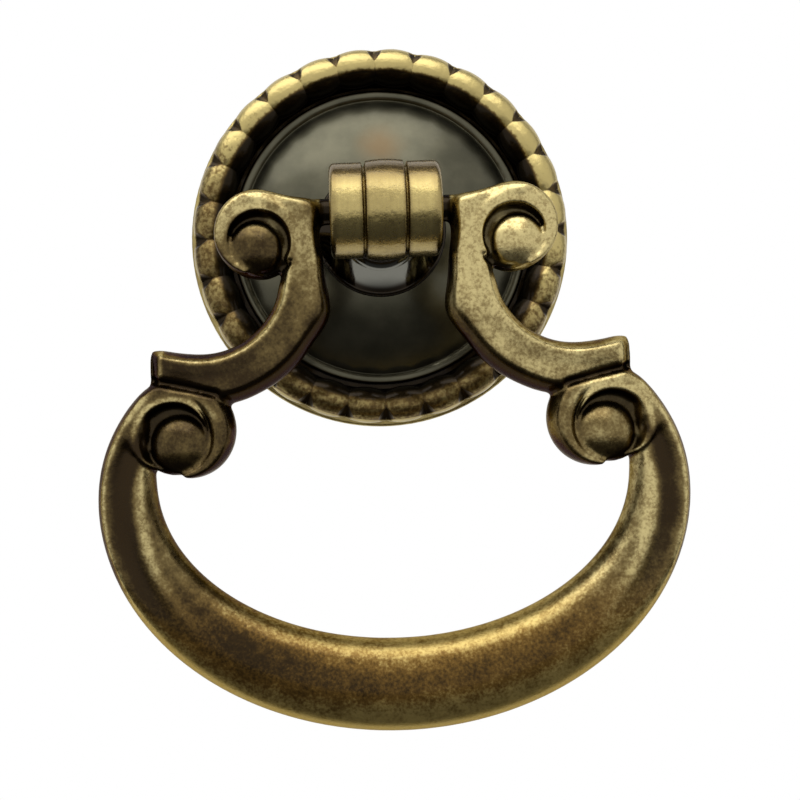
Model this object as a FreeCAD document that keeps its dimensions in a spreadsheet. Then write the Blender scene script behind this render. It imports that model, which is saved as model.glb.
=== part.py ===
"""Ring pull handle: a beaded round backplate, a hinge post and a scrolled ring that swings on it.

World frame, in millimetres: the origin is the centre of the plate's back face, +Z is up, and the
front of the handle looks along -Y. Every piece is drawn lying on its back, with its own front along
local +Z and its own top along local +Y, and its Placement then stands it up.
"""
import FreeCAD, Part
import math
import os
import Sketcher

DIMENSIONS = {
    # Backplate: heights are measured forward from the back face.
    "plate_radius": 15.0,
    "lip_height": 0.95,
    "lip_width": 0.55,
    "lip_round": 0.25,
    "bead_count": 28,
    "bead_circle_radius": 13.3,
    "bead_centre_height": 1.75,
    "bead_radius": 1.42,
    "bead_end_radius": 1.12,
    "bead_overlap": 0.1,
    "bead_bed_radius": 1.0,
    "pit_inner_radius": 13.15,
    "pit_outer_radius": 14.7,
    "pit_height": 2.7,
    "pit_radius": 0.8,
    "groove_floor": 0.8,
    "groove_width": 0.35,
    "dome_edge_radius": 11.65,
    "dome_edge_height": 1.55,
    "dome_rim_width": 0.8,
    "dome_rim_round": 0.5,
    "dome_crease": 0.2,
    "dome_height": 3.7,
    "dome_bulge_radius": 17.0,
    "plate_wall": 1.5,
    "back_land_width": 4.0,
    "boss_wall": 1.6,
    # Hinge post: spigot, collar, neck and three-band barrel.
    "spigot_radius": 2.7,
    "spigot_clearance": 0.05,
    "screw_hole_radius": 1.65,
    "screw_hole_depth": 7.5,
    "drill_point": 1.0,
    "collar_radius": 5.0,
    "collar_thickness": 0.9,
    "collar_edge": 0.25,
    "collar_round": 0.3,
    "collar_dome_radius": 17.0,
    "neck_radius": 2.3,
    "neck_flare": 0.8,
    "hinge_height": 12.0,
    "barrel_length": 7.4,
    "barrel_radius": 3.2,
    "barrel_end_round": 0.4,
    "band_radius": 3.38,
    "band_crown": 0.1,
    "band_width": 2.5,
    "band_groove_width": 0.3,
    "band_groove_depth": 0.35,
    "pin_radius": 0.9,
    "pin_clearance": 0.05,
    "pin_engagement": 2.3,
    "pin_root": 1.3,
    # Ring bar: drops run down from the hinge axis, widths across the ring, depths front to back.
    "ring_half_width": 20.0,
    "ring_bottom": 35.2,
    "ring_widest": 19.3,
    "bar_width_bottom": 6.15,
    "bar_width_side": 3.95,
    "bar_depth_bottom": 4.3,
    "bar_depth_side": 3.6,
    "opening_lift": 1.3,
    "shoulder_arc_radius": 10.34,
    "shoulder_arc_angle": 45.0,
    "lower_scroll_radius": 4.0,
    "lower_tail_radius": 2.95,
    "lower_tail_angle": 262.0,
    "lower_eye_sink": 0.65,
    "lower_eye_radius": 1.9,
    "lower_groove_gap": 0.4,
    "lower_groove_lean": 0.65,
    "lower_groove_angle": 50.0,
    # Arms: the hinge face, the upper scroll, the spur and the S curve.
    "arm_side_gap": 0.75,
    "arm_top": 0.6,
    "arm_face_drop": 1.2,
    "arm_depth": 3.7,
    "arm_curve_x": 12.6,
    "arm_curve_drop": 4.0,
    "arm_curve_inner": 5.37,
    "arm_curve_outer": 8.95,
    "arm_curve_start": 188.0,
    "arm_curve_end": 258.0,
    "arm_valley_angle": 274.0,
    "arm_tip_overhang": 1.9,
    "arm_tip_height": 3.05,
    "arm_seat_depth": 1.25,
    "arm_tip_bevel": 0.7,
    "arm_tip_depth": 2.2,
    "spur_reach": 0.55,
    "spur_drop": 6.85,
    "upper_scroll_x": 8.6,
    "upper_scroll_drop": 1.38,
    "upper_scroll_radius": 2.97,
    "upper_tail_angle": -72.0,
    "upper_crown_angle": 110.0,
    "upper_mouth_angle": 208.0,
    "upper_eye_shift": 0.15,
    "upper_eye_sink": 1.15,
    "upper_eye_radius": 1.7,
    "upper_groove_gap": 0.3,
    "upper_groove_lean": 0.42,
    "upper_groove_angle": 130.0,
    "web_depth": 1.8,
    "web_bite": 0.2,
    "eye_depth": 4.0,
    "eye_spread": 2.4,
}


class Size:
    """A dimension: its number, and the expression that ties a feature to the sheet."""

    def __init__(self, number, text):
        self.number = number
        self.text = text

    def joined(self, sign, other, number):
        return Size(number, "(" + self.text + " " + sign + " " + as_size(other).text + ")")

    def __add__(self, other):
        return self.joined("+", other, self.number + float(other))

    def __sub__(self, other):
        return self.joined("-", other, self.number - float(other))

    def __mul__(self, other):
        return self.joined("*", other, self.number * float(other))

    def __truediv__(self, other):
        return self.joined("/", other, self.number / float(other))

    def __neg__(self):
        return Size(-self.number, "(-" + self.text + ")")

    def __float__(self):
        return self.number


def as_size(value):
    """A plain number, such as the 2 of a half, as a Size."""
    if isinstance(value, Size):
        return value
    return Size(float(value), str(float(value)))


doc = FreeCAD.newDocument("ring_pull_handle")
sheet = doc.addObject("Spreadsheet::Sheet", "Sizes")
for row, (word, number) in enumerate(DIMENSIONS.items(), start=1):
    sheet.set("A%d" % row, word)
    sheet.set("B%d" % row, str(number))
    sheet.setAlias("B%d" % row, word)
doc.recompute()


def size(word):
    """The sheet's dimension of that name."""
    return Size(float(sheet.get(word)), "Sizes." + word)


def bind(thing, name, value):
    """Ties a property of a feature to the sheet."""
    thing.setExpression(name, as_size(value).text)


UPRIGHT = FreeCAD.Rotation(FreeCAD.Vector(1, 0, 0), 90)
FULL_TURN = 360.0
# Stations along each stretch of the ring's bands, and how their tapers ease in.
SCROLL_STEPS = 9
SHOULDER_STEPS = 4
BOTTOM_STEPS = 8
CURVE_STEPS = 7
SHOULDER_EASE = 2.0
TAIL_EASE = 2.0
FLARE_EASE = 0.35
# Shape of a band's section: how far its ridges stand apart, and how much its faces swell between them.
RIDGED_FLAT = 0.5
RIDGED_CROWN = 0.06
ROUND_FLAT = 0.6
ROUND_CROWN = 0.2
ARM_FLAT = 0.6


# Sketches and features

def origin_part(body, role):
    """One of a body's own origin planes or axes."""
    for feature in body.Origin.OriginFeatures:
        if feature.Role == role:
            return feature
    raise ValueError(role)


def sketch_on(body, name, role):
    """An empty sketch on one of the body's origin planes."""
    sketch = body.newObject("Sketcher::SketchObject", name)
    sketch.AttachmentSupport = [(origin_part(body, role), "")]
    sketch.MapMode = "FlatFace"
    return sketch


def pin_point(sketch, edge, end, point):
    """Holds one end of an edge at a point whose two coordinates are sizes."""
    for kind, value in zip(("DistanceX", "DistanceY"), point):
        value = as_size(value)
        index = sketch.addConstraint(Sketcher.Constraint(kind, -1, 1, edge, end, value.number))
        if value.text != "0.0":
            sketch.setExpression("Constraints[%d]" % index, value.text)


def draw_profile(sketch, start, steps):
    """A closed profile: each step is the next corner, with a radius and a side where it is an arc.

    The side is 1 for an arc that bulges to the left of its own direction, and -1 to the right.
    """
    corners = [start] + [step[0] for step in steps]
    for first, second, step in zip(corners, corners[1:], steps):
        p = FreeCAD.Vector(float(first[0]), float(first[1]), 0)
        q = FreeCAD.Vector(float(second[0]), float(second[1]), 0)
        if len(step) == 1:
            edge = sketch.addGeometry(Part.LineSegment(p, q), False)
            ends = (1, 2)
        else:
            radius, side = step[1], step[2]
            middle = arc_middle(p, q, radius, side)
            arc = Part.Arc(q, middle, p) if side > 0 else Part.Arc(p, middle, q)
            edge = sketch.addGeometry(arc, False)
            ends = (2, 1) if side > 0 else (1, 2)
            bound = sketch.addConstraint(Sketcher.Constraint("Radius", edge, float(radius)))
            sketch.setExpression("Constraints[%d]" % bound, as_size(radius).text)
        pin_point(sketch, edge, ends[0], first)
        pin_point(sketch, edge, ends[1], second)


def arc_middle(p, q, radius, side):
    """The middle point of the shorter arc of that radius from p to q."""
    chord = q - p
    half = chord.Length / 2
    sagitta = float(radius) - math.sqrt(float(radius) ** 2 - half ** 2)
    left = FreeCAD.Vector(-chord.y, chord.x, 0) / chord.Length
    return (p + q) / 2 + left * (side * sagitta)


def revolve(body, sketch, name, axis, kind="PartDesign::Revolution"):
    """A full turn of a sketch about its own axis, which adds metal or, as a groove, cuts it."""
    feature = body.newObject(kind, name)
    feature.Profile = sketch
    feature.ReferenceAxis = (sketch, [axis])
    feature.Angle = FULL_TURN
    return feature


# Backplate

def round_border(body, feature, name):
    """A feature of the border, repeated once for each bead."""
    pattern = body.newObject("PartDesign::PolarPattern", name)
    pattern.Originals = [feature]
    pattern.Axis = (origin_part(body, "Z_Axis"), [""])
    pattern.Angle = FULL_TURN
    bind(pattern, "Occurrences", size("bead_count"))
    body.Tip = pattern


def make_backplate():
    """The round casting: dome, groove, beaded and pitted border, outer lip, and a hollow back."""
    body = doc.addObject("PartDesign::Body", "backplate")
    radius = size("plate_radius")
    lip_top = size("lip_height")
    lip_round = size("lip_round")
    bed = size("bead_bed_radius")
    bead_circle = size("bead_circle_radius")
    bead_height = size("bead_centre_height")
    floor = size("groove_floor")
    edge_radius = size("dome_edge_radius")
    edge_height = size("dome_edge_height")
    rim_width = size("dome_rim_width")
    crease_height = edge_height - size("dome_crease")
    dome_top = size("dome_height")
    hole = size("spigot_radius") + size("spigot_clearance")
    seat = size("collar_radius")
    bulge = size("dome_bulge_radius")
    land = radius - size("back_land_width")
    boss = hole + size("boss_wall")
    ceiling = dome_top - size("plate_wall")
    inner_bulge = bulge - size("plate_wall")

    profile = sketch_on(body, "plate_profile", "XZ_Plane")
    draw_profile(profile, (hole, 0), [
        ((hole, dome_top),),
        ((seat, dome_top),),
        ((edge_radius - rim_width, crease_height), bulge, 1),
        ((edge_radius, crease_height), size("dome_rim_round"), 1),
        ((edge_radius, floor),),
        ((edge_radius + size("groove_width"), floor),),
        ((bead_circle - bed, bead_height),),
        ((bead_circle, bead_height + bed), bed, 1),
        ((bead_circle + bed, bead_height), bed, 1),
        ((radius - size("lip_width"), lip_top),),
        ((radius - lip_round, lip_top),),
        ((radius, lip_top - lip_round), lip_round, 1),
        ((radius, 0),),
        ((land, 0),),
        ((boss, ceiling), inner_bulge, -1),
        ((boss, 0),),
        ((hole, 0),),
    ])
    revolve(body, profile, "plate", "V_Axis")

    half_length = bead_circle * math.pi / size("bead_count") + size("bead_overlap")
    bead_sketch = sketch_on(body, "bead_profile", "XZ_Plane")
    bind(bead_sketch, ".AttachmentOffset.Base.y", bead_height)
    bind(bead_sketch, ".AttachmentOffset.Base.z", -bead_circle)
    bead_end = size("bead_end_radius")
    rise = size("bead_radius") - bead_end
    crown = (half_length * half_length + rise * rise) / (rise * 2)
    draw_profile(bead_sketch, (-half_length, 0), [
        ((-half_length, bead_end),),
        ((half_length, bead_end), crown, 1),
        ((half_length, 0),),
        ((-half_length, 0),),
    ])
    bead = revolve(body, bead_sketch, "bead", "H_Axis")
    round_border(body, bead, "beaded_border")

    half_step = FULL_TURN / 2 / size("bead_count").number
    pit_point = size("pit_inner_radius")
    pit_mouth = size("pit_outer_radius")
    pit_sketch = sketch_on(body, "pit_profile", "XZ_Plane")
    pit_sketch.AttachmentOffset.Rotation = FreeCAD.Rotation(FreeCAD.Vector(0, 1, 0), half_step)
    bind(pit_sketch, ".AttachmentOffset.Base.y", size("pit_height"))
    draw_profile(pit_sketch, (pit_point, 0), [
        ((pit_mouth, 0),),
        ((pit_mouth, size("pit_radius")),),
        ((pit_point, 0),),
    ])
    pit = revolve(body, pit_sketch, "pit", "H_Axis", "PartDesign::Groove")
    round_border(body, pit, "border_pits")

    turned = FreeCAD.Rotation(FreeCAD.Vector(0, 0, 1), half_step)
    body.Placement = FreeCAD.Placement(FreeCAD.Vector(), UPRIGHT * turned)
    return body


# Hinge post

def make_hinge_post():
    """Threaded spigot, collar on the dome, waisted neck and the banded barrel with its bore."""
    body = doc.addObject("PartDesign::Body", "hinge_post")
    spigot = size("spigot_radius")
    hole = size("screw_hole_radius")
    hole_end = size("screw_hole_depth")
    seat = size("dome_height")
    collar = size("collar_radius")
    collar_edge = size("collar_edge")
    collar_round = size("collar_round")
    collar_top = seat + size("collar_thickness")
    neck = size("neck_radius")
    flare = size("neck_flare")
    hinge = size("hinge_height")

    profile = sketch_on(body, "post_profile", "XZ_Plane")
    draw_profile(profile, (hole, 0), [
        ((spigot, 0),),
        ((spigot, seat),),
        ((collar, seat),),
        ((collar, seat + collar_edge),),
        ((collar - collar_round, seat + collar_edge + collar_round), collar_round, -1),
        ((neck + flare, collar_top), size("collar_dome_radius"), -1),
        ((neck, collar_top + flare), flare, 1),
        ((neck, hinge),),
        ((0, hinge),),
        ((0, hole_end + size("drill_point")),),
        ((hole, hole_end),),
        ((hole, 0),),
    ])
    revolve(body, profile, "post", "V_Axis")

    half = size("barrel_length") / 2
    end = size("barrel_end_round")
    barrel = size("barrel_radius")
    band = size("band_width") / 2
    cut = size("band_groove_width")
    groove = barrel - size("band_groove_depth")
    band_edge = size("band_radius") - size("band_crown")
    crown = (band * band + size("band_crown") * size("band_crown")) / (size("band_crown") * 2)
    outline = sketch_on(body, "barrel_profile", "XZ_Plane")
    bind(outline, ".AttachmentOffset.Base.y", hinge)
    draw_profile(outline, (-half, 0), [
        ((-half, barrel - end),),
        ((end - half, barrel), end, 1),
        ((-band - cut, barrel),),
        ((-band - cut / 2, groove),),
        ((-band, band_edge),),
        ((band, band_edge), crown, 1),
        ((band + cut / 2, groove),),
        ((band + cut, barrel),),
        ((half - end, barrel),),
        ((half, barrel - end), end, 1),
        ((half, 0),),
        ((-half, 0),),
    ])
    revolve(body, outline, "barrel", "H_Axis")

    bore_sketch = sketch_on(body, "bore_circle", "YZ_Plane")
    bind(bore_sketch, ".AttachmentOffset.Base.y", hinge)
    bore_radius = size("pin_radius") + size("pin_clearance")
    circle = Part.Circle(FreeCAD.Vector(), FreeCAD.Vector(0, 0, 1), bore_radius.number)
    ring = bore_sketch.addGeometry(circle, False)
    bore_sketch.addConstraint(Sketcher.Constraint("Coincident", ring, 3, -1, 1))
    bound = bore_sketch.addConstraint(Sketcher.Constraint("Radius", ring, bore_radius.number))
    bore_sketch.setExpression("Constraints[%d]" % bound, bore_radius.text)
    bore = body.newObject("PartDesign::Pocket", "pin_bore")
    bore.Profile = bore_sketch
    bore.Type = "Length"
    bore.Midplane = True
    bind(bore, "Length", size("barrel_length") * 2)
    body.Tip = bore
    body.Placement = FreeCAD.Placement(FreeCAD.Vector(), UPRIGHT)
    return body


# Ring: the pieces of one casting, drawn on the plane that holds the hinge axis

def on_circle(centre, radius, degrees):
    """A point on a circle, by its angle from the ring's right."""
    angle = math.radians(degrees)
    return centre + FreeCAD.Vector(math.cos(angle), math.sin(angle), 0) * radius


def mix(first, second, share):
    """A value or point part of the way from the first to the second."""
    return first + (second - first) * share


def spaced(first, last, count):
    """Evenly spaced values, both ends included."""
    return [mix(first, last, step / (count - 1)) for step in range(count)]


def place(word):
    """A point of the ring's plane, named in the sheet by its x and its drop below the hinge axis."""
    return FreeCAD.Vector(size(word + "_x").number, -size(word + "_drop").number, 0)


def band_section(outer, inner, depth, flat, crown):
    """A closed section between two edge points: four arcs that meet in soft ridges."""
    middle = (outer + inner) / 2
    across = (outer - inner) / 2
    front = FreeCAD.Vector(0, 0, depth / 2)
    ridge = front * (1 - crown)
    corners = [middle - across * flat + ridge, middle + across * flat + ridge,
               middle + across * flat - ridge, middle - across * flat - ridge]
    crests = [middle + front, outer, middle - front, inner]
    arcs = []
    for index, crest in enumerate(crests):
        arcs.append(Part.Arc(corners[index], crest, corners[(index + 1) % 4]).toShape())
    return Part.Wire(arcs)


def lofted(name, stations, ruled=False):
    """A solid through the sections at those stations, smooth unless it is ruled straight."""
    band = doc.addObject("Part::Feature", name)
    band.Shape = Part.makeLoft([band_section(*station) for station in stations], True, ruled)
    return band


def shoulder_centre():
    """The middle of the arc that turns the ring's side in towards its lower scroll."""
    return FreeCAD.Vector((size("ring_half_width") - size("shoulder_arc_radius")).number,
                          -size("ring_widest").number, 0)


def lower_scroll_centre():
    """The middle of the lower scroll, whose own arc runs on from the shoulder's."""
    step = size("shoulder_arc_radius") - size("lower_scroll_radius")
    return on_circle(shoulder_centre(), step.number, size("shoulder_arc_angle").number)


def eye_centre(name):
    """The middle of a scroll's eye, below the middle of the scroll."""
    sink = FreeCAD.Vector(0, size(name + "_eye_sink").number, 0)
    if name == "lower":
        return lower_scroll_centre() - sink
    return place("upper_scroll") + FreeCAD.Vector(size("upper_eye_shift").number, 0, 0) - sink


def mirrored(point):
    """The same point on the left of the ring."""
    return FreeCAD.Vector(-point.x, point.y, point.z)


def groove_centre(name):
    """The middle of the groove that winds round a scroll's eye, a little off the eye's own."""
    return on_circle(eye_centre(name), size(name + "_groove_lean").number,
                     size(name + "_groove_angle").number)


def groove_radius(name):
    """How far a scroll's groove reaches from its own middle."""
    return size(name + "_eye_radius") + size(name + "_groove_gap")


def groove_wall(name, degrees):
    """A point on the outer wall of a scroll's groove."""
    return on_circle(groove_centre(name), groove_radius(name).number, degrees)


def make_lower_scroll():
    """The right end of the ring bar, which winds round the lower eye and thins to a tail."""
    scroll = lower_scroll_centre()
    radius = size("lower_scroll_radius").number
    tail_radius = size("lower_tail_radius").number
    tail_end = size("lower_tail_angle").number
    arc_end = size("shoulder_arc_angle").number
    depth = size("bar_depth_side").number
    stations = []
    for angle in spaced(tail_end, arc_end, SCROLL_STEPS):
        share = (angle - arc_end) / (tail_end - arc_end)
        outer = on_circle(scroll, mix(radius, tail_radius, share ** TAIL_EASE), angle)
        stations.append((outer, groove_wall("lower", angle), depth, RIDGED_FLAT, RIDGED_CROWN))
    return lofted("lower_scroll", stations)


def make_ring_bar():
    """The ring bar, from the start of one lower scroll round the bottom to the other."""
    half = size("ring_half_width").number
    widest = -size("ring_widest").number
    bottom = -size("ring_bottom").number
    side_width = size("bar_width_side").number
    side_depth = size("bar_depth_side").number
    arc_radius = size("shoulder_arc_radius").number
    arc_centre = shoulder_centre()
    arc_end = size("shoulder_arc_angle").number
    scroll_start = on_circle(arc_centre, arc_radius, arc_end)
    end_width = (scroll_start - groove_wall("lower", arc_end)).Length
    opening = FreeCAD.Vector(0, widest + size("opening_lift").number, 0)
    opening_half = half - side_width
    opening_rise = opening.y - bottom - size("bar_width_bottom").number

    stations = [(scroll_start, groove_wall("lower", arc_end), side_depth, RIDGED_FLAT, RIDGED_CROWN)]
    for angle in spaced(arc_end, 0, SHOULDER_STEPS + 1)[1:-1]:
        share = (angle / arc_end) ** SHOULDER_EASE
        outer = on_circle(arc_centre, arc_radius, angle)
        inner = on_circle(arc_centre, arc_radius - mix(side_width, end_width, share), angle)
        stations.append((outer, inner, side_depth, RIDGED_FLAT, RIDGED_CROWN))
    level = math.asin((opening.y - widest) / opening_rise)
    quarter = math.pi / 2
    for angle, turn in zip(spaced(0, quarter, BOTTOM_STEPS), spaced(level, quarter, BOTTOM_STEPS)):
        outer = FreeCAD.Vector(half * math.cos(angle), widest + (bottom - widest) * math.sin(angle), 0)
        reach = FreeCAD.Vector(opening_half * math.cos(turn), -opening_rise * math.sin(turn), 0)
        share = math.sin(angle) ** 2
        depth = mix(side_depth, size("bar_depth_bottom").number, share)
        flat = mix(RIDGED_FLAT, ROUND_FLAT, share)
        stations.append((outer, opening + reach, depth, flat, mix(RIDGED_CROWN, ROUND_CROWN, share)))
    for outer, inner, *shape in reversed(stations[:-1]):
        stations.append((mirrored(outer), mirrored(inner), *shape))
    return lofted("ring_bar", stations)


def tangent_point(point, centre, radius):
    """Where the line from a point touches the top of a circle to its right."""
    way = centre - point
    reach = math.sqrt(way.Length ** 2 - radius ** 2)
    heading = math.atan2(way.y, way.x) + math.asin(radius / way.Length)
    return point + FreeCAD.Vector(math.cos(heading), math.sin(heading), 0) * reach


def make_arm():
    """The right arm: upper scroll, squared shoulder at the hinge, spur, S curve and bevelled tip."""
    face_x = (size("barrel_length") / 2 + size("arm_side_gap")).number
    shoulder = FreeCAD.Vector(face_x, size("arm_top").number, 0)
    hinge_foot = FreeCAD.Vector(face_x, -size("arm_face_drop").number, 0)
    spur = FreeCAD.Vector(face_x - size("spur_reach").number, -size("spur_drop").number, 0)
    scroll = place("upper_scroll")
    scroll_radius = size("upper_scroll_radius").number
    crown = tangent_point(shoulder, scroll, scroll_radius)
    curve = place("arm_curve")
    inner_radius = size("arm_curve_inner").number
    outer_radius = size("arm_curve_outer").number
    seat = lower_scroll_centre()
    foot = seat.y + (size("lower_scroll_radius") - size("arm_seat_depth")).number
    top = foot + size("arm_tip_height").number
    tip_x = seat.x + size("arm_tip_overhang").number
    end_x = tip_x - size("arm_tip_bevel").number
    valley = on_circle(curve, inner_radius, size("arm_valley_angle").number)
    valley_foot = FreeCAD.Vector(valley.x, mix(foot, curve.y - outer_radius, 0.5), 0)
    flare_x = mix(valley.x, end_x, 0.5)
    flare = FreeCAD.Vector(flare_x, mix(valley.y, top, FLARE_EASE), 0)

    edges = []
    crown_angle = size("upper_crown_angle").number
    for angle in spaced(size("upper_tail_angle").number, crown_angle, SCROLL_STEPS):
        edges.append((on_circle(scroll, scroll_radius, angle), groove_wall("upper", angle)))
    column = [mix(crown, shoulder, 1 / 2), shoulder, hinge_foot, mix(hinge_foot, spur, 1 / 3)]
    walls = spaced(crown_angle, size("upper_mouth_angle").number, len(column) + 1)[1:]
    edges += [(point, groove_wall("upper", angle)) for point, angle in zip(column, walls)]
    turns = spaced(size("arm_curve_start").number, size("arm_curve_end").number, CURVE_STEPS)
    belly = [mix(hinge_foot, spur, 2 / 3), spur]
    belly += [on_circle(curve, outer_radius, angle) for angle in turns[len(belly):]]
    edges += [(point, on_circle(curve, inner_radius, angle)) for point, angle in zip(belly, turns)]
    edges += [(valley_foot, valley), (FreeCAD.Vector(flare_x, foot, 0), flare)]
    edges += [(FreeCAD.Vector(end_x, foot, 0), FreeCAD.Vector(end_x, top, 0))]
    depth = size("arm_depth").number
    stations = [(outer, inner, depth, ARM_FLAT, RIDGED_CROWN) for outer, inner in edges]
    tip = (FreeCAD.Vector(tip_x, foot, 0), FreeCAD.Vector(tip_x, top, 0),
           size("arm_tip_depth").number, ARM_FLAT, RIDGED_CROWN)
    return [lofted("arm", stations), lofted("arm_tip", [stations[-1], tip], ruled=True)]


def mirror(thing):
    """The left-hand twin of a piece of the ring."""
    twin = doc.addObject("Part::Mirroring", thing.Name + "_left")
    twin.Source = thing
    twin.Normal = FreeCAD.Vector(1, 0, 0)
    return twin


def scroll_web(name):
    """The thin web that closes a scroll behind its groove."""
    web = doc.addObject("Part::Cylinder", name + "_web")
    bind(web, "Radius", groove_radius(name) + size("web_bite"))
    bind(web, "Height", size("web_depth"))
    web.Placement.Base = groove_centre(name)
    bind(web, ".Placement.Base.z", -size("web_depth") / 2)
    return web


def make_eye(name):
    """The low-domed button at the middle of a scroll."""
    pillar = doc.addObject("Part::Cylinder", name + "_eye_pillar")
    bind(pillar, "Radius", size(name + "_eye_radius"))
    bind(pillar, "Height", size("eye_depth"))
    pillar.Placement.Base = eye_centre(name)
    bind(pillar, ".Placement.Base.z", -size("eye_depth") / 2)
    dome = doc.addObject("Part::Ellipsoid", name + "_eye_dome")
    bind(dome, "Radius1", size("eye_depth") / 2)
    bind(dome, "Radius2", size("eye_spread"))
    bind(dome, "Radius3", size("eye_spread"))
    dome.Placement.Base = eye_centre(name)
    eye = doc.addObject("Part::MultiCommon", name + "_eye")
    eye.Shapes = [pillar, dome]
    return eye


def make_pin():
    """The stub pin that stands out of an arm's shoulder into the barrel's bore."""
    pin = doc.addObject("Part::Cylinder", "pin")
    bind(pin, "Radius", size("pin_radius"))
    bind(pin, "Height", size("pin_engagement") + size("arm_side_gap") + size("pin_root"))
    pin.Placement = FreeCAD.Placement(FreeCAD.Vector(), FreeCAD.Rotation(FreeCAD.Vector(0, 1, 0), 90))
    bind(pin, ".Placement.Base.x", size("barrel_length") / 2 - size("pin_engagement"))
    return pin


def make_ring():
    """The ring's casting: the bar, and on each side an arm, two scroll webs, two eyes and a pin."""
    side = doc.addObject("Part::MultiFuse", "ring_side")
    side.Shapes = make_arm() + [make_lower_scroll(), scroll_web("upper"), scroll_web("lower"),
                                make_eye("upper"), make_eye("lower"), make_pin()]
    ring = doc.addObject("Part::MultiFuse", "ring")
    ring.Shapes = [make_ring_bar(), side, mirror(side)]
    ring.Refine = True
    hinge = FreeCAD.Vector(0, -size("hinge_height").number, 0)
    ring.Placement = FreeCAD.Placement(hinge, UPRIGHT)
    return ring


# Build, check and write

pieces = [make_backplate(), make_hinge_post(), make_ring()]
doc.recompute()
for thing in doc.Objects:
    if "Invalid" in thing.State or "Error" in thing.State:
        raise RuntimeError("%s failed: %s" % (thing.Label, thing.State))
for piece in pieces:
    if piece.Shape.isNull() or not piece.Shape.isValid():
        raise RuntimeError(piece.Label + " has no valid shape")
    if len(piece.Shape.Solids) != 1:
        raise RuntimeError(piece.Label + " is not one solid")
os.makedirs("parts", exist_ok=True)
for piece in pieces:
    piece.Shape.exportStep(os.path.join("parts", piece.Label + ".step"))
    print("%s: %d solid, %.1f mm3, box %s" % (
        piece.Label, len(piece.Shape.Solids), piece.Shape.Volume, piece.Shape.BoundBox))
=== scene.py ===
# %% [markdown]
# # A ring pull handle in antique brass
#
# The handle is three castings: a round backplate with a beaded border, a hinge post that stands out
# of its middle, and a scrolled ring that swings on the post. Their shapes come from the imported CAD
# model. The lesson adds no pieces: it softens and carves the ring's surface, gives each casting its
# finish, and sets up the studio that they are seen in.

import math

import bpy
from mathutils import Matrix, Vector

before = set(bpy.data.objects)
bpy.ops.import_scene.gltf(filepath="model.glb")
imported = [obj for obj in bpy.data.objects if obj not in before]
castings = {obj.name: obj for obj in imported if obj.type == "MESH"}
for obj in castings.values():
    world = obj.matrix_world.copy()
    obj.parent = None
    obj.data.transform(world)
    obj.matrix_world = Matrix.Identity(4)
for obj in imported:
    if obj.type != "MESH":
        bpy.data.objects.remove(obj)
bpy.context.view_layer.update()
MM = 0.001
for name, casting in castings.items():
    print(name, "has", len(casting.data.polygons), "faces")

# %% [markdown]
# ## Surfaces
#
# A casting is smooth along its curves and crisp where two faces meet. The faces of the mesh are
# small and flat, so they are shaded smooth, and an edge stays sharp only where it turns more than
# a given angle.

# %% Smooth the castings' shading
CRISP_EDGE = math.radians(32)
for casting in castings.values():
    with bpy.context.temp_override(object=casting, active_object=casting,
                                   selected_editable_objects=[casting]):
        bpy.ops.object.shade_smooth_by_angle(angle=CRISP_EDGE)
print("shaded", len(castings), "castings")

# %% [markdown]
# ## A small language for finishes
#
# A finish is a web of shader nodes. Written as nodes it is long, so one small class wraps a socket
# and turns sums into Math nodes. `1 - mask` then reads as it would on paper. Every other kind of
# node comes from `node`, which takes the node's type, its settings and what goes into its sockets.

# %% Wire: a socket that can be added and multiplied
class Wire:
    """One output socket of a node, used like a number."""

    def __init__(self, socket):
        self.socket = socket
        self.tree = socket.id_data

    def node(self, kind, settings=None, sockets=None, output=0):
        """A new node of that type: settings first, then the values or links of its sockets."""
        made = self.tree.nodes.new(kind)
        for key, value in (settings or {}).items():
            setattr(made, key, value)
        for key, value in (sockets or {}).items():
            if isinstance(value, Wire):
                self.tree.links.new(value.socket, made.inputs[key])
            else:
                made.inputs[key].default_value = value
        return Wire(made.outputs[output])

    def maths(self, operation, first, second=0.0):
        return self.node("ShaderNodeMath", {"operation": operation}, {0: first, 1: second})

    def __add__(self, other):
        return self.maths("ADD", self, other)

    __radd__ = __add__

    def __sub__(self, other):
        return self.maths("SUBTRACT", self, other)

    def __rsub__(self, other):
        return self.maths("SUBTRACT", other, self)

    def __mul__(self, other):
        return self.maths("MULTIPLY", self, other)

    __rmul__ = __mul__

    def __truediv__(self, other):
        return self.maths("DIVIDE", self, other)

    def __rtruediv__(self, other):
        return self.maths("DIVIDE", other, self)

    def __pow__(self, other):
        return self.maths("POWER", self, other)

    def __abs__(self):
        return self.maths("ABSOLUTE", self)

    def at_most(self, other):
        return self.maths("MINIMUM", self, other)

    def at_least(self, other):
        return self.maths("MAXIMUM", self, other)

    def rise(self, low, high):
        """0 below low, 1 above high, and a smooth step between them."""
        return self.node("ShaderNodeMapRange", {"interpolation_type": "SMOOTHSTEP"},
                         {"Value": self, "From Min": low, "From Max": high})

    def fall(self, low, high):
        """1 below low, 0 above high, and a smooth step between them."""
        return 1 - self.rise(low, high)

    def band(self, low, high, soft):
        """1 between low and high, fading over a soft width on each side."""
        return self.rise(low - soft, low + soft) * self.fall(high - soft, high + soft)

    def axes(self):
        """The three numbers of a vector."""
        split = self.node("ShaderNodeSeparateXYZ", None, {0: self})
        return [Wire(axis) for axis in split.socket.node.outputs]

    def scaled(self, factor):
        """A vector times a number."""
        return self.node("ShaderNodeVectorMath", {"operation": "SCALE"}, {0: self, "Scale": factor})

    def tint(self, low_colour, high_colour):
        """A colour that goes from the low one, at 0, to the high one, at 1."""
        return self.node("ShaderNodeMix", {"data_type": "RGBA"},
                         {0: self, 6: low_colour, 7: high_colour}, output=2)


print("wires ready")

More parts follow.
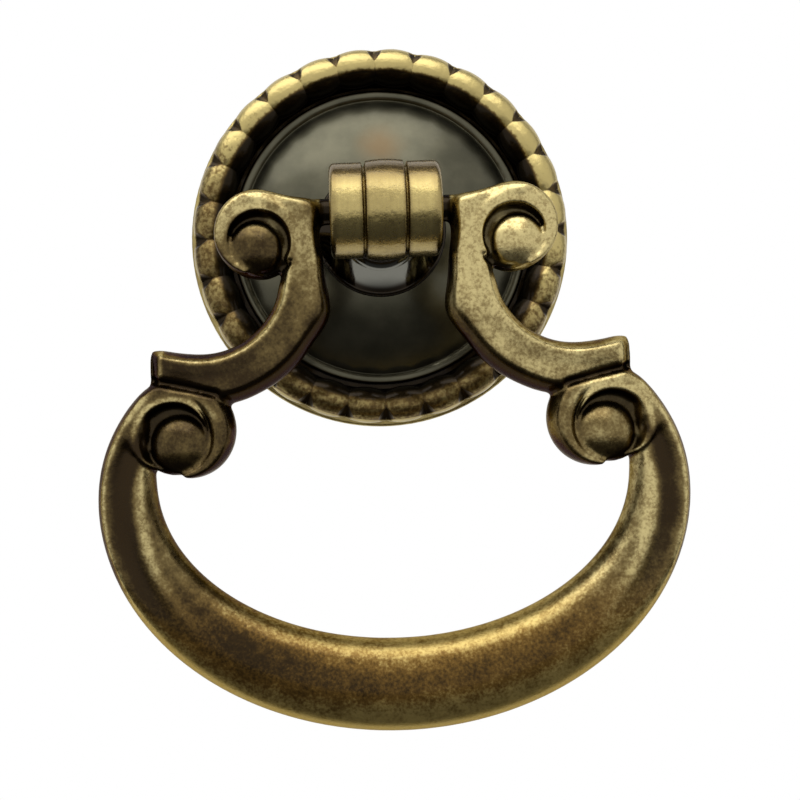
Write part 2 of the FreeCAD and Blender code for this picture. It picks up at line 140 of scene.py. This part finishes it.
# %% [markdown]
# ## Places on the ring
#
# Fine lines run over the ring, and they are measured from a few places in its own plane, in
# millimetres: the ellipse of the bar's outer edge, the round shoulder above it, the circle of each
# arm's inner curve, the corner of its foot, and the middles of the scrolls' eyes and grooves. Both
# sides are alike, so x counts outward from the middle. A place or a direction is a pair, x then z. A
# fade is the two values it runs between, and a line is where it starts, where it ends and how soft
# its edges are.

# %% Places, fades and lines
BAR_HALF_WIDTH, BAR_DROP, BAR_WIDEST = 20.0, 15.9, -19.3
SHOULDER_RADIUS = 10.34
SHOULDER = (BAR_HALF_WIDTH - SHOULDER_RADIUS, BAR_WIDEST)
OUTER_RIDGE, CHANNEL, INNER_RIDGE = (0.5, 0.8, 0.22), (1.25, 2.4, 0.4), (2.8, 3.4, 0.35)
BOTTOM_FADE, SIDE_FADE, ARM_FADE = (-29.0, -23.0), (-29.0, -21.0), (-14.0, -11.0)
OUTER_RIDGE_TOP, CHANNEL_TOP, INNER_RIDGE_TOP = (-12.4, -11.4), (-15.6, -14.2), (-17.0, -16.0)
ARM_CURVE, ARM_RADIUS = (12.6, -4.0), 5.37
ARM_WIDTH, ARM_RIDGE, ARM_HOLLOW = (0.0, 3.6, 0.1), (0.4, 0.8, 0.2), (1.3, 2.3, 0.5)
ARM_LOW = (2.4, 3.0)
FOOT, ALONG_FOOT, ACROSS_FOOT = (15.3, -11.25), (-0.973, -0.23), (0.23, -0.973)
FOOT_LENGTH, FOOT_CUT = (-0.7, 3.9, 0.3), (0.05, 0.4)
TIP_FADE, TIP_SLOPE, TIP_LINE = (-11.3, -11.1), (15.2, 16.8), (15.1, 15.4, 0.12)
LOWER_EYE, LOWER_EYE_EDGE = (14.56, -14.97), (2.1, 2.4)
LOWER_GROOVE, LOWER_GROOVE_EDGE = (14.98, -14.47), (2.5, 2.75)
UPPER_EYE, UPPER_EYE_EDGE = (8.48, -2.2), (1.95, 2.2)
UPPER_GROOVE, UPPER_GROOVE_EDGE = (8.21, -1.88), (2.35, 2.6)
GATE_WAY, GATE_SPREAD, GATE_START, GATE_END = (-0.47, -0.883), (0.84, 0.94), (1.85, 2.0), (2.45, 2.65)
print("the lower eyes are", 2 * LOWER_EYE[0], "mm apart, the upper ones", 2 * UPPER_EYE[0])

# %% [markdown]
# ## The ring's lines
#
# The lines are a channel between two ridges along each side of the bar, a ridge and a hollow along
# each arm, a cut under its foot, a slope on its tip, the turn of each scroll, and the gate where an
# upper scroll's groove opens to the gap beside the arm. The relief and the finish both need them, so
# one class works them out from the two coordinates, as wires. Each line is a mask: 1 on it, 0 off it.

# %% RingLines: where the lines run
class RingLines:
    """Masks over the ring's plane, from x and z in millimetres. Both sides are alike."""

    def __init__(self, x, z):
        self.side_x, self.z = abs(x), z
        self.bottom = z.fall(*BOTTOM_FADE)
        self.arms = z.rise(*ARM_FADE)
        self.trace_bar()
        self.trace_arms()
        self.trace_scrolls()

    def away(self, spot):
        """How far a point lies from a place on the ring, on either side of it."""
        return ((self.side_x - spot[0]) ** 2 + (self.z - spot[1]) ** 2) ** 0.5

    def along(self, spot, way):
        """How far a point lies from a place, counted in one direction."""
        return way[0] * (self.side_x - spot[0]) + way[1] * (self.z - spot[1])

    def trace_bar(self):
        """The bar's lines, by how deep a point lies inside the bar's outer edge."""
        below = self.z - BAR_WIDEST
        from_middle = (self.side_x * self.side_x + below * below) ** 0.5
        bow = ((self.side_x / BAR_HALF_WIDTH) ** 2 + (below / BAR_DROP) ** 2) ** 0.5
        bow_depth = (1 / bow - 1) * from_middle
        shoulder_depth = SHOULDER_RADIUS - self.away(SHOULDER)
        on_shoulder = below.rise(-0.2, 0.2)
        depth = on_shoulder * shoulder_depth + (1 - on_shoulder) * bow_depth
        on_side = self.z.rise(*SIDE_FADE)
        self.outer_ridge = depth.band(*OUTER_RIDGE) * on_side * self.z.fall(*OUTER_RIDGE_TOP)
        self.inner_ridge = depth.band(*INNER_RIDGE) * on_side * self.z.fall(*INNER_RIDGE_TOP)
        self.channel = depth.band(*CHANNEL) * on_side * self.z.fall(*CHANNEL_TOP)

    def trace_arms(self):
        """The arms' lines, by how far a point lies outside the arm's inner curve."""
        depth = self.away(ARM_CURVE) - ARM_RADIUS
        on_arm = self.arms * depth.band(*ARM_WIDTH)
        self.arm_ridge = depth.band(*ARM_RIDGE) * on_arm
        self.arm_hollow = depth.band(*ARM_HOLLOW) * on_arm
        self.arm_low = depth.rise(*ARM_LOW) * on_arm
        on_foot = self.along(FOOT, ALONG_FOOT).band(*FOOT_LENGTH)
        self.foot_cut = abs(self.along(FOOT, ACROSS_FOOT)).fall(*FOOT_CUT) * on_foot
        on_tip = self.z.rise(*TIP_FADE)
        self.tip_slope = self.side_x.rise(*TIP_SLOPE) * on_tip
        self.tip_line = self.side_x.band(*TIP_LINE) * on_tip

    def trace_scrolls(self):
        """The scrolls' turns, between an eye and its groove's edge, and the upper grooves' gates."""
        self.from_lower_eye = self.away(LOWER_EYE)
        self.from_upper_eye = self.away(UPPER_EYE)
        from_lower_groove = self.away(LOWER_GROOVE)
        from_upper_groove = self.away(UPPER_GROOVE)
        lower_turn = self.from_lower_eye.rise(*LOWER_EYE_EDGE) * from_lower_groove.fall(*LOWER_GROOVE_EDGE)
        upper_turn = self.from_upper_eye.rise(*UPPER_EYE_EDGE) * from_upper_groove.fall(*UPPER_GROOVE_EDGE)
        self.turn = lower_turn.at_least(upper_turn)
        toward_gap = self.along(UPPER_EYE, GATE_WAY) / self.from_upper_eye
        at_gap = toward_gap.rise(*GATE_SPREAD) * self.from_upper_eye.rise(*GATE_START)
        self.gate = at_gap * from_upper_groove.fall(*GATE_END)

    def total(self, weights):
        """The named lines added up, each times its weight."""
        return sum(weight * getattr(self, line) for line, weight in weights.items())


print("ring lines ready")

# %% [markdown]
# ## The ring's relief
#
# The ring was cast in a sand mould and tumbled, so its edges are soft and its lines are shallow. A
# geometry node tree pushes the front in along the channels and cuts and out along the ridges, by a
# few tenths of a millimetre. In the turn of a scroll it lifts the groove's floor to the front's own
# level, and at a gate it lowers the groove's thin wall. A level is how far a point lies in front of
# the plate's back.

# %% Relief tree
RELIEF_MM = {"outer_ridge": 0.22, "inner_ridge": 0.1, "channel": -0.32, "arm_ridge": 0.1,
             "arm_hollow": -0.16, "foot_cut": -0.45, "tip_slope": -0.5}
FRONT_LEVEL, GATE_LEVEL, FLOOR_LEVELS = 13.8, 12.8, (12.3, 12.6)
relief = bpy.data.node_groups.new("ring_relief", "GeometryNodeTree")
for way in ("INPUT", "OUTPUT"):
    relief.interface.new_socket("Geometry", in_out=way, socket_type="NodeSocketGeometry")
cast = Wire(relief.nodes.new("NodeGroupInput").outputs[0])
cast_x, cast_y, cast_z = cast.node("GeometryNodeInputPosition").scaled(1 / MM).axes()
carving = RingLines(cast_x, cast_z)
facing = -1 * cast.node("GeometryNodeInputNormal").axes()[1]
level = -1 * cast_y
push = facing.rise(0.2, 0.7) * carving.total(RELIEF_MM) * (1 - carving.turn)
lifted = carving.turn * (1 - carving.gate) * level.rise(*FLOOR_LEVELS)
push = push + lifted * (FRONT_LEVEL - level)
push = push - carving.gate * (level - GATE_LEVEL).at_least(0.0)
offset = push.node("ShaderNodeCombineXYZ", None, {"Y": -MM * push})
pushed = cast.node("GeometryNodeSetPosition", None, {"Geometry": cast, "Offset": offset})
relief_out = relief.nodes.new("NodeGroupOutput")
relief.links.new(pushed.socket, relief_out.inputs[0])
print("relief has", len(relief.nodes), "nodes")

# %% [markdown]
# ## Softening the ring
#
# Before the lines are carved, the ring's mesh is rebuilt in small cubes and smoothed, which takes
# the sharpness off every edge. A last light smoothing blends the lines in.

# %% Soften the ring and carve its lines
CELL_MM, FIRST_PASSES, LAST_PASSES, PASS_STRENGTH = 0.16, 8, 3, 0.5


def soften(casting, passes):
    """Smooths a casting's mesh that many times."""
    smooth = casting.modifiers.new("smooth", "SMOOTH")
    smooth.factor = PASS_STRENGTH
    smooth.iterations = passes


cells = castings["ring"].modifiers.new("cells", "REMESH")
cells.mode = "VOXEL"
cells.voxel_size = CELL_MM * MM
cells.use_smooth_shade = True
soften(castings["ring"], FIRST_PASSES)
castings["ring"].modifiers.new("relief", "NODES").node_group = relief
soften(castings["ring"], LAST_PASSES)
shape = castings["ring"].evaluated_get(bpy.context.evaluated_depsgraph_get())
print("the ring has", len(shape.data.polygons), "faces once carved")

# %% [markdown]
# ## What the finishes share
#
# All three castings were plated, dipped in a dark patina and rubbed back, then lacquered. So all
# three finishes start from the same measures: the position on the casting in millimetres, the way
# the surface faces, and how deep a point lies in a hollow. A cloth rubs the patina off the faces
# and edges that it reaches, and leaves it in the hollows. The position and the way a face turns also
# place the light and shade that are painted into the colours.

# %% Finish: a material under construction
class Finish:
    """A new material with one metal shader, and the measures that its patina is made from."""

    def __init__(self, name):
        self.material = bpy.data.materials.new(name)
        self.material.use_nodes = True
        tree = self.material.node_tree
        self.shader = next(n for n in tree.nodes if n.type == "BSDF_PRINCIPLED")
        coordinates = tree.nodes.new("ShaderNodeTexCoord").outputs
        self.place = Wire(coordinates["Object"]).scaled(1 / MM)
        self.x, self.y, self.z = self.place.axes()
        self.level = -1 * self.y
        self.facing_x, self.facing_y, self.facing_z = Wire(coordinates["Normal"]).axes()
        self.front = -1 * self.facing_y

    def speckle(self, size_mm, detail=4.0):
        """Noise whose patches are about that many millimetres across."""
        return self.place.node("ShaderNodeTexNoise", None, {
            "Vector": self.place, "Scale": 1 / size_mm, "Detail": detail, "Roughness": 0.55})

    def openness(self, reach_mm):
        """1 on an open face, falling to 0 in a hollow about that many millimetres wide."""
        return self.place.node("ShaderNodeAmbientOcclusion", {"samples": 8},
                               {"Distance": reach_mm * MM}, output="AO")

    def rounded(self, radius_mm):
        """The surface's own direction, with its edges rounded off."""
        return self.place.node("ShaderNodeBevel", {"samples": 6}, {"Radius": radius_mm * MM})

    def grain(self, height, strength, depth_mm, under):
        """Bumps the surface by a height, over a direction that is already rounded."""
        return self.place.node("ShaderNodeBump", None, {
            "Strength": strength, "Distance": depth_mm * MM, "Height": height, "Normal": under})

    def coat(self, casting, **sockets):
        """Sets the shader's sockets, by name with spaces as underscores, and covers a casting."""
        for key, value in sockets.items():
            socket = self.shader.inputs[key.replace("_", " ")]
            if isinstance(value, Wire):
                socket.id_data.links.new(value.socket, socket)
            else:
                socket.default_value = value
        casting.data.materials.clear()
        casting.data.materials.append(self.material)
        print(self.material.name, "has", len(self.material.node_tree.nodes), "nodes")


print("finishes ready")

# %% [markdown]
# ## Colours
#
# A colour is easiest to judge as it is displayed, from 0 to 255. A shader wants it in linear light,
# so a short function translates it. Four colours are shared: bright brass, brass that is worn, the
# brown of thin patina and the near black of thick patina, which also paints shade on the ring's pins.

# %% Colours
def colour(red, green, blue):
    """A display colour, from 0 to 255 each, as the linear colour that a shader takes."""
    linear = []
    for value in (red / 255, green / 255, blue / 255):
        linear.append(value / 12.92 if value <= 0.04045 else ((value + 0.055) / 1.055) ** 2.4)
    return (*linear, 1.0)


BRASS = colour(208, 188, 122)
WORN_BRASS = colour(190, 172, 112)
BROWN = colour(100, 80, 44)
PATINA_AND_SHADE = colour(36, 28, 16)
print("brass in linear light:", [round(value, 3) for value in BRASS[:3]])

# %% [markdown]
# ## The backplate's zones
#
# The plate is round, so the distance from its axis tells the dome, the lobes of the border and the
# outer lip apart, and the level tells a lobe's crest from the groove. The angle round the axis, counted
# in lobes, finds the pits between them. High on the dome a patch is rubbed a little browner.

# %% Plate zones
DOME_EDGE, CREST_EDGE, LIP_EDGE, CREST_LEVEL = (11.3, 11.5), (12.6, 13.1), (14.35, 14.5), (1.9, 2.7)
LOBES, PIT_SHARE, PIT_FADE = 28, 0.16, (13.2, 14.2)
PATCH_X, PATCH_Z, PATCH_FADE, PATCH_RAG = 0.3, 6.9, (0.2, 2.4), 2.0
plate = Finish("plate_brass")
plate_cloud = plate.speckle(2.4)
plate_radius = (plate.x * plate.x + plate.z * plate.z) ** 0.5
on_dome = plate_radius.fall(*DOME_EDGE)
on_lip = plate_radius.rise(*LIP_EDGE)
on_crest = plate_radius.rise(*CREST_EDGE) * plate.level.rise(*CREST_LEVEL)
lobe = plate.x.maths("ARCTAN2", plate.x, plate.z) * (LOBES / (2 * math.pi))
off_joint = abs(lobe - lobe.maths("ROUND", lobe))
pit = (off_joint - PIT_SHARE * plate_radius.rise(*PIT_FADE)).fall(-0.05, 0.05) * (1 - on_lip)
pit = pit * (0.45 + 0.8 * plate_cloud)
from_patch = ((plate.x - PATCH_X) ** 2 + (plate.z - PATCH_Z) ** 2) ** 0.5
patch = (from_patch + PATCH_RAG * (plate_cloud - 0.5)).fall(*PATCH_FADE)
patch = patch * on_dome * plate.front.rise(0.0, 0.5)
print("the plate has", LOBES, "lobes")

# %% [markdown]
# ## The backplate's finish
#
# The dome is dark bronze under a thick lacquer, the lobes of the border are rubbed to yellow brass
# and painted lighter toward the top and the right as light, and the patina stays nearly black in the
# groove beside the dome and in the pits between the lobes.

# %% Plate finish
plate_fleck = plate.speckle(0.3, detail=6.0)
plate_dent = plate.speckle(0.9, detail=2.0)
rubbed_and_lit = on_crest * (1 - 0.75 * pit)
rubbed_and_lit = rubbed_and_lit * (0.62 + 0.4 * plate_fleck.rise(0.3, 0.65)) * (0.5 + 0.9 * plate_cloud)
# Painted light: the lobes grow brighter toward the top and the right, where the light falls.
rubbed_and_lit = rubbed_and_lit * (0.5 + 0.85 * (0.4 * plate.x + plate.z).rise(-5.0, 12.0))
rubbed_and_lit = rubbed_and_lit.at_most(1.0)
rubbed_and_lit = rubbed_and_lit.at_least(on_lip * (0.3 + 0.6 * plate_cloud))
dome_colour = plate_cloud.rise(0.3, 0.7).tint(colour(78, 76, 62), colour(92, 89, 73))
dome_colour = (0.6 * patch).tint(dome_colour, colour(100, 80, 54))
border_colour = rubbed_and_lit.rise(0.0, 0.45).tint(PATINA_AND_SHADE, BROWN)
border_colour = rubbed_and_lit.rise(0.3, 0.8).tint(border_colour, WORN_BRASS)
plate_bumps = (0.25 * plate_fleck + plate_dent) * (1 - 0.95 * on_dome)
plate.coat(
    castings["backplate"],
    Base_Color=on_dome.tint(border_colour, dome_colour),
    Metallic=1.0,
    Roughness=0.3 + 0.12 * plate_cloud - 0.06 * on_dome,
    Normal=plate.grain(plate_bumps, 0.5, 0.14, plate.rounded(0.1)),
    Coat_Weight=0.12,
    Coat_Roughness=0.1,
)

# %% [markdown]
# ## The hinge post's finish
#
# The barrel is what hands touch, so it is the brightest brass and the most polished, with fine streaks
# round it. Its top and its underside are painted darker as shade. The two grooves that part its three
# bands hold patina, and so do its ends and the neck. The collar keeps a mirror-like lacquer, and its
# lower part is painted light grey as a reflection.

# %% Post finish
BARREL_LEVEL, COLLAR_LEVEL, COLLAR_EDGE, COLLAR_LOW = (6.8, 8.2), (4.65, 4.8), (4.1, 4.5), (-2.2, -1.4)
GROOVE_X, GROOVE_FADE, END_FADE, MIDDLE_FADE = 1.4, (0.04, 0.45), (2.9, 3.6), (1.2, 1.5)
STREAKS_PER_MM = (5.0, 0.25, 0.25)
post = Finish("post_brass")
post_cloud = post.speckle(1.2)
post_fleck = post.speckle(0.2, detail=6.0)
post_side = abs(post.x)
on_barrel = post.level.rise(*BARREL_LEVEL)
on_collar = post.level.fall(*COLLAR_LEVEL)
off_groove = abs(post_side - GROOVE_X).rise(*GROOVE_FADE)
brush = post.place.node("ShaderNodeVectorMath", {"operation": "MULTIPLY"},
                        {0: post.place, 1: STREAKS_PER_MM})
streak = post.place.node("ShaderNodeTexNoise", None, {"Vector": brush, "Scale": 1.0, "Detail": 3.0})
shine = (0.15 + 0.55 * post_cloud + 0.3 * streak + 0.4 * post_fleck).at_most(1.0)
polish_and_shade = on_barrel * (0.4 + 0.6 * off_groove) * shine
# Painted shade: the barrel's top, here, and its underside, on the next line, are darkened. Its ends keep
# patina.
polish_and_shade = polish_and_shade * (1 - 0.9 * post.facing_z.rise(0.1, 0.7)) * (1 - 0.5 * post_side.rise(*END_FADE))
polish_and_shade = polish_and_shade * (1 - 0.45 * (-1 * post.facing_z).rise(0.5, 0.85))
polish_and_shade = polish_and_shade * (0.8 + 0.2 * post_side.rise(*MIDDLE_FADE))
post_radius = (post.x * post.x + post.z * post.z) ** 0.5
# Painted reflection: the collar's lower part is painted light grey, as the sheen it shows below the
# barrel.
painted_collar_sheen = on_collar * post_radius.fall(*COLLAR_EDGE) * post.z.fall(*COLLAR_LOW)
post_colour = on_barrel.tint(PATINA_AND_SHADE, BROWN)
post_colour = painted_collar_sheen.tint(post_colour, colour(116, 115, 106))
post.coat(
    castings["hinge_post"],
    Base_Color=polish_and_shade.tint(post_colour, BRASS),
    Metallic=1.0,
    Roughness=0.2 + 0.16 * post_fleck - 0.2 * on_collar,
    Normal=post.grain((0.3 * post_fleck + post_cloud) * on_barrel, 0.5, 0.1, post.rounded(0.14)),
    Coat_Weight=0.3,
    Coat_Roughness=0.06,
)

# %% [markdown]
# ## The ring's zones
#
# Besides its lines, the ring's finish needs to know what a cloth and a hand reach, and where light and
# shade are painted: which side and which height a point is on, whether it lies on the front or down in a
# groove, the bands that wind round the eyes, and the inner and outer rims of the bar, which face the
# ring's middle and away from it.

# %% Ring zones
SUNK_LEVELS, GROOVE_LEVELS, RING_MIDDLE = (12.7, 13.6), (11.6, 12.2), -17.0
CREST_FADE, RIGHT_FADE, LEFT_FADE, PIN_END = (-9.0, -4.0), (-7.0, 7.0), (-15.0, 4.0), (4.3, 4.55)
UPPER_GROOVE_REACH, LOWER_GROOVE_REACH, UPPER_EYE_REACH = (1.95, 2.15), (2.25, 2.45), (1.4, 2.0)
HOOK, HOOK_FADE = (2.4, 2.75, 0.15), (-16.0, -15.0)
LOWER_BAND, LOWER_BAND_FADE = (2.3, 3.3, 0.2), (-14.2, -13.4)
UPPER_BAND, UPPER_BAND_SIDE, UPPER_BAND_FADE = (2.3, 3.7, 0.2), (7.4, 8.8), (-2.8, -1.4)
ring = Finish("ring_brass")
lines = RingLines(ring.x, ring.z)
crest = ring.z.rise(*CREST_FADE)
right = ring.x.rise(*RIGHT_FADE)
left = ring.x.fall(*LEFT_FADE)
# Painted shade: the pins between the barrel and the arms are darkened as the shade they sit in.
pin_shade = lines.side_x.fall(*PIN_END) * crest
proud = ring.level.rise(*SUNK_LEVELS)
front_half = ring.level.rise(*GROOVE_LEVELS)
upper_groove = lines.from_upper_eye.fall(*UPPER_GROOVE_REACH)
lower_groove = lines.from_lower_eye.fall(*LOWER_GROOVE_REACH).at_least(0.6 * lines.foot_cut)
groove = upper_groove.at_least(lower_groove).at_least(lines.gate) * (1 - proud) * front_half
upper_eye = lines.from_upper_eye.fall(*UPPER_EYE_REACH) * proud
hook = lines.from_lower_eye.band(*HOOK) * ring.z.rise(*HOOK_FADE) * proud
lower_band = lines.from_lower_eye.band(*LOWER_BAND) * ring.z.rise(*LOWER_BAND_FADE) * proud
upper_band = lines.from_upper_eye.band(*UPPER_BAND) * lines.side_x.rise(*UPPER_BAND_SIDE)
upper_band = upper_band * ring.z.rise(*UPPER_BAND_FADE) * proud
above_middle = ring.z - RING_MIDDLE
from_middle = (ring.x * ring.x + above_middle ** 2) ** 0.5
outward = (ring.x * ring.facing_x + above_middle * ring.facing_z) / from_middle
# Along the bottom bar the inner rim faces up and is rubbed and also painted lighter as a highlight; the
# outer rim faces down and is painted lighter as a reflection.
inner_rim = (-1 * outward).rise(0.2, 0.8) * above_middle.fall(-1.0, 1.0)
outer_rim = 0.6 * outward.rise(-0.15, 0.7) + 0.7 * outward.rise(0.5, 0.9)
print("ring zones ready")

# %% [markdown]
# ## The ring's wear, with painted light and shade
#
# The ring keeps most of its brown patina. Wear runs from 0, where the patina is whole, to 1, where it
# is rubbed to bright brass, and painted light and shade go into the same value. It starts from an even
# value. Ridges add to it, channels and cuts take from it, and three sizes of noise break it up. Painted
# light adds to it on the top, on the right side, on upward faces at the top left and on the bottom's
# outer rim; the inner rim is both rubbed and painted lighter as a highlight; painted shade takes from
# it on the left side, on the undersides and along the arms' outer bevels.

# %% Ring wear
EVEN_WEAR = 0.39
# arm_low darkens each arm's outer bevel as painted shade; the other lines are wear and patina.
LINE_WEAR_AND_SHADE = {"outer_ridge": 0.5, "inner_ridge": 0.4, "channel": -0.36, "arm_low": -0.12,
             "foot_cut": -0.4, "tip_line": 0.3}
ring_cloud = ring.speckle(2.6)
ring_mottle = ring.speckle(0.8, detail=6.0)
ring_fleck = ring.speckle(0.2, detail=4.0)
hollow = ring.openness(1.0).fall(0.35, 0.85)
# Painted shade: faces that turn down, above the bottom of the ring, are darkened.
underside = (-1 * ring.facing_z).rise(0.15, 0.7) * (1 - lines.bottom)
# Painted light: the top of the ring is lighter, and more so on the right; painted shade: the left side is
# darker.
wear_and_light = EVEN_WEAR + 0.06 * ring.front.rise(0.4, 0.95) + 0.2 * crest
wear_and_light = wear_and_light + right * (0.08 * lines.arms + 0.28 * crest) - left * (0.17 + 0.12 * lines.arms)
wear_and_light = wear_and_light + lines.total(LINE_WEAR_AND_SHADE) + (0.24 + 0.16 * left) * lines.arm_ridge
# The bands round the eyes are rubbed brighter; the upper eye on the left is painted darker as shade.
wear_and_light = wear_and_light + 0.3 * hook + 0.2 * lower_band + 0.3 * upper_band - 0.25 * upper_eye * left
# Painted shade on the undersides, and painted light on faces that turn up at the top left.
wear_and_light = wear_and_light - 0.3 * underside + 0.3 * crest * left * ring.facing_z.rise(0.2, 0.7)
# Partly wear and partly painted highlight on the inner rim; painted reflection on the bottom's outer rim.
wear_and_light = wear_and_light + (0.12 + 0.28 * lines.bottom) * inner_rim + lines.bottom * (outer_rim - 0.12)
wear_and_light = wear_and_light + 0.35 * (ring_mottle - 0.5) + (0.45 - 0.2 * lines.bottom) * (ring_cloud - 0.5)
wear_and_light = wear_and_light + (0.25 + 0.2 * lines.bottom) * (ring_fleck - 0.5)
wear_and_light = wear_and_light.rise(0.0, 0.95) * (1 - 0.6 * hollow)
print("wear starts from", EVEN_WEAR)

# %% [markdown]
# ## The ring's finish
#
# Wear, with the light and shade painted into it, picks the colour, from dark patina through brown to
# brass. The bottom of the ring is warmer and a little rougher than the rest, and the grooves and the
# hollows are nearly black with patina. The pins are painted nearly black too, as the shade between the
# barrel and the arms. Brass seen at a slant would mirror the white sweep, so a dark tint at the edges
# keeps the ring's flanks brown.

# %% Ring finish
thin_patina = lines.bottom.tint(colour(110, 93, 56), colour(114, 86, 40))
ring_colour = wear_and_light.rise(0.0, 0.5).tint(colour(48, 36, 19), thin_patina)
grainy = (0.5 * ring_mottle + 0.5 * ring_fleck).rise(0.35, 0.6)
bright = grainy.tint(colour(158, 139, 92), colour(208, 191, 134))
bright = (0.7 * lines.bottom).tint(bright, colour(196, 168, 92))
ring_colour = wear_and_light.rise(0.35, 1.0).tint(ring_colour, bright)
# The grooves and hollows hold patina; the pins get the same near black as painted shade.
ring_colour = groove.at_least(hollow).at_least(pin_shade).tint(ring_colour, PATINA_AND_SHADE)
ring.coat(
    castings["ring"],
    Base_Color=ring_colour,
    Metallic=1.0,
    Roughness=0.2 + 0.16 * ring_mottle + 0.14 * lines.bottom,
    Normal=ring.grain(ring_fleck + 0.6 * ring_mottle, 0.35, 0.03, ring.rounded(0.18)),
    Specular_Tint=(0.4, 0.34, 0.26, 1.0),
    Coat_Weight=0.12,
    Coat_Roughness=0.14,
)

# %% [markdown]
# ## The studio
#
# The handle hangs in front of a pale sweep: a floor that curves up into a wall, so that no line
# shows behind it.

# %% Sweep
FLOOR_DROP, FLOOR_FRONT, WALL_BACK, SWEEP_HALF, SWEEP_BEND = 0.25, 0.0, 0.30, 0.9, 0.12
BEND_STEPS = 12
outline = [(FLOOR_FRONT, -FLOOR_DROP)]
for step in range(BEND_STEPS + 1):
    angle = math.pi / 2 * step / BEND_STEPS
    outline.append((WALL_BACK - SWEEP_BEND + SWEEP_BEND * math.sin(angle),
                    -FLOOR_DROP + SWEEP_BEND - SWEEP_BEND * math.cos(angle)))
outline.append((WALL_BACK, SWEEP_HALF))
corners = [(side * SWEEP_HALF, y, z) for y, z in outline for side in (-1, 1)]
quads = [(2 * i, 2 * i + 1, 2 * i + 3, 2 * i + 2) for i in range(len(outline) - 1)]
sweep_mesh = bpy.data.meshes.new("sweep")
sweep_mesh.from_pydata(corners, [], quads)
sweep = bpy.data.objects.new("sweep", sweep_mesh)
bpy.context.scene.collection.objects.link(sweep)
print("sweep has", len(quads), "faces")

# %% [markdown]
# ## The sweep's paint
#
# To the camera, and in the brass, the sweep is plain white, which a glow gives. To the light that
# bounces about the studio it is a pale matt wall.

# %% Sweep paint
WHITE, PALE = (1, 1, 1, 1), (0.8, 0.8, 0.8, 1)
sweep_paint = bpy.data.materials.new("sweep_paint")
sweep_paint.use_nodes = True
sweep_tree = sweep_paint.node_tree
sweep_tree.nodes.clear()
rays = sweep_tree.nodes.new("ShaderNodeLightPath").outputs
seen = Wire(rays["Is Camera Ray"]).at_least(Wire(rays["Is Glossy Ray"]))
seen = seen.at_least(Wire(rays["Is Transmission Ray"]))
matt = seen.node("ShaderNodeBsdfDiffuse", None, {"Color": PALE})
glow = seen.node("ShaderNodeEmission", None, {"Color": WHITE, "Strength": 1.0})
mixed = seen.node("ShaderNodeMixShader", None, {0: seen, 1: matt, 2: glow})
sweep_out = sweep_tree.nodes.new("ShaderNodeOutputMaterial")
sweep_tree.links.new(mixed.socket, sweep_out.inputs["Surface"])
sweep_mesh.materials.append(sweep_paint)
print("sweep paint has", len(sweep_tree.nodes), "nodes")

# %% [markdown]
# ## Light
#
# Metal shows what stands round it. A window of soft light fills the front, from above down to a
# little below the eye, and the dark room under it gives the brass its depth. The world draws that
# as a smooth change from direction to direction. The camera itself sees plain white.

# %% World
ROOM_GLOW, WINDOW_GLOW, WINDOW_FOOT, WINDOW_SIDE = 0.08, 0.82, (-0.40, -0.24), (-0.15, 0.17)
world = bpy.data.worlds.new("studio")
bpy.context.scene.world = world
world.use_nodes = True
world_tree = world.node_tree
world_tree.nodes.clear()
toward = Wire(world_tree.nodes.new("ShaderNodeTexCoord").outputs["Generated"])
back, up = toward.axes()[1:]
window = WINDOW_GLOW * up.rise(*WINDOW_FOOT) * back.fall(*WINDOW_SIDE)
room = ROOM_GLOW + window
to_camera = Wire(world_tree.nodes.new("ShaderNodeLightPath").outputs["Is Camera Ray"])
strength = room.node("ShaderNodeMix", {"data_type": "FLOAT"}, {0: to_camera, 2: room, 3: 1.0})
sky = strength.node("ShaderNodeBackground", None, {"Color": WHITE, "Strength": strength})
world_out = world_tree.nodes.new("ShaderNodeOutputWorld")
world_tree.links.new(sky.socket, world_out.inputs["Surface"])
print("world has", len(world_tree.nodes), "nodes")

# %% [markdown]
# ## The lamp
#
# One large softbox hangs above the handle, in front of it and a little to the left. It lights the
# upper faces, such as the top of the bar and of the scrolls.

# %% Lamp
LAMP_PLACE, LAMP_AIM = Vector((-0.06, -0.16, 0.32)), Vector((0, 0, -0.01))
LAMP_WIDTH, LAMP_HEIGHT, LAMP_WATTS = 0.5, 0.3, 0.9
lamp = bpy.data.lights.new("top_light", "AREA")
lamp.shape = "RECTANGLE"
lamp.size, lamp.size_y, lamp.energy = LAMP_WIDTH, LAMP_HEIGHT, LAMP_WATTS
softbox = bpy.data.objects.new("top_light", lamp)
softbox.location = LAMP_PLACE
softbox.rotation_euler = (LAMP_AIM - LAMP_PLACE).to_track_quat("-Z", "Y").to_euler()
bpy.context.scene.collection.objects.link(softbox)
print("lamp:", softbox.name)

# %% [markdown]
# ## The camera
#
# The picture was taken straight on, from close by, a little below the hinge, with the handle hanging
# slightly askew. Nearness matters: the ring stands 12 mm in front of the plate, and looks larger.

# %% Camera
LENS, CAMERA_X, CAMERA_Z, CAMERA_AWAY, ROLL, SHIFT = 41.9, -2.69, -12.8, 75.15, 1.9, 0.061
camera = bpy.data.objects.new("camera", bpy.data.cameras.new("camera"))
camera.data.lens = LENS
camera.data.shift_x = SHIFT
camera.data.clip_start = MM
camera.location = (CAMERA_X * MM, -CAMERA_AWAY * MM, CAMERA_Z * MM)
level_view = Matrix.Rotation(math.pi / 2, 3, "X")
camera.rotation_euler = (level_view @ Matrix.Rotation(math.radians(-ROLL), 3, "Z")).to_euler()
bpy.context.scene.collection.objects.link(camera)
bpy.context.scene.camera = camera
bpy.context.scene.view_settings.view_transform = "Standard"
print("camera at", [round(value / MM, 1) for value in camera.location], "mm")
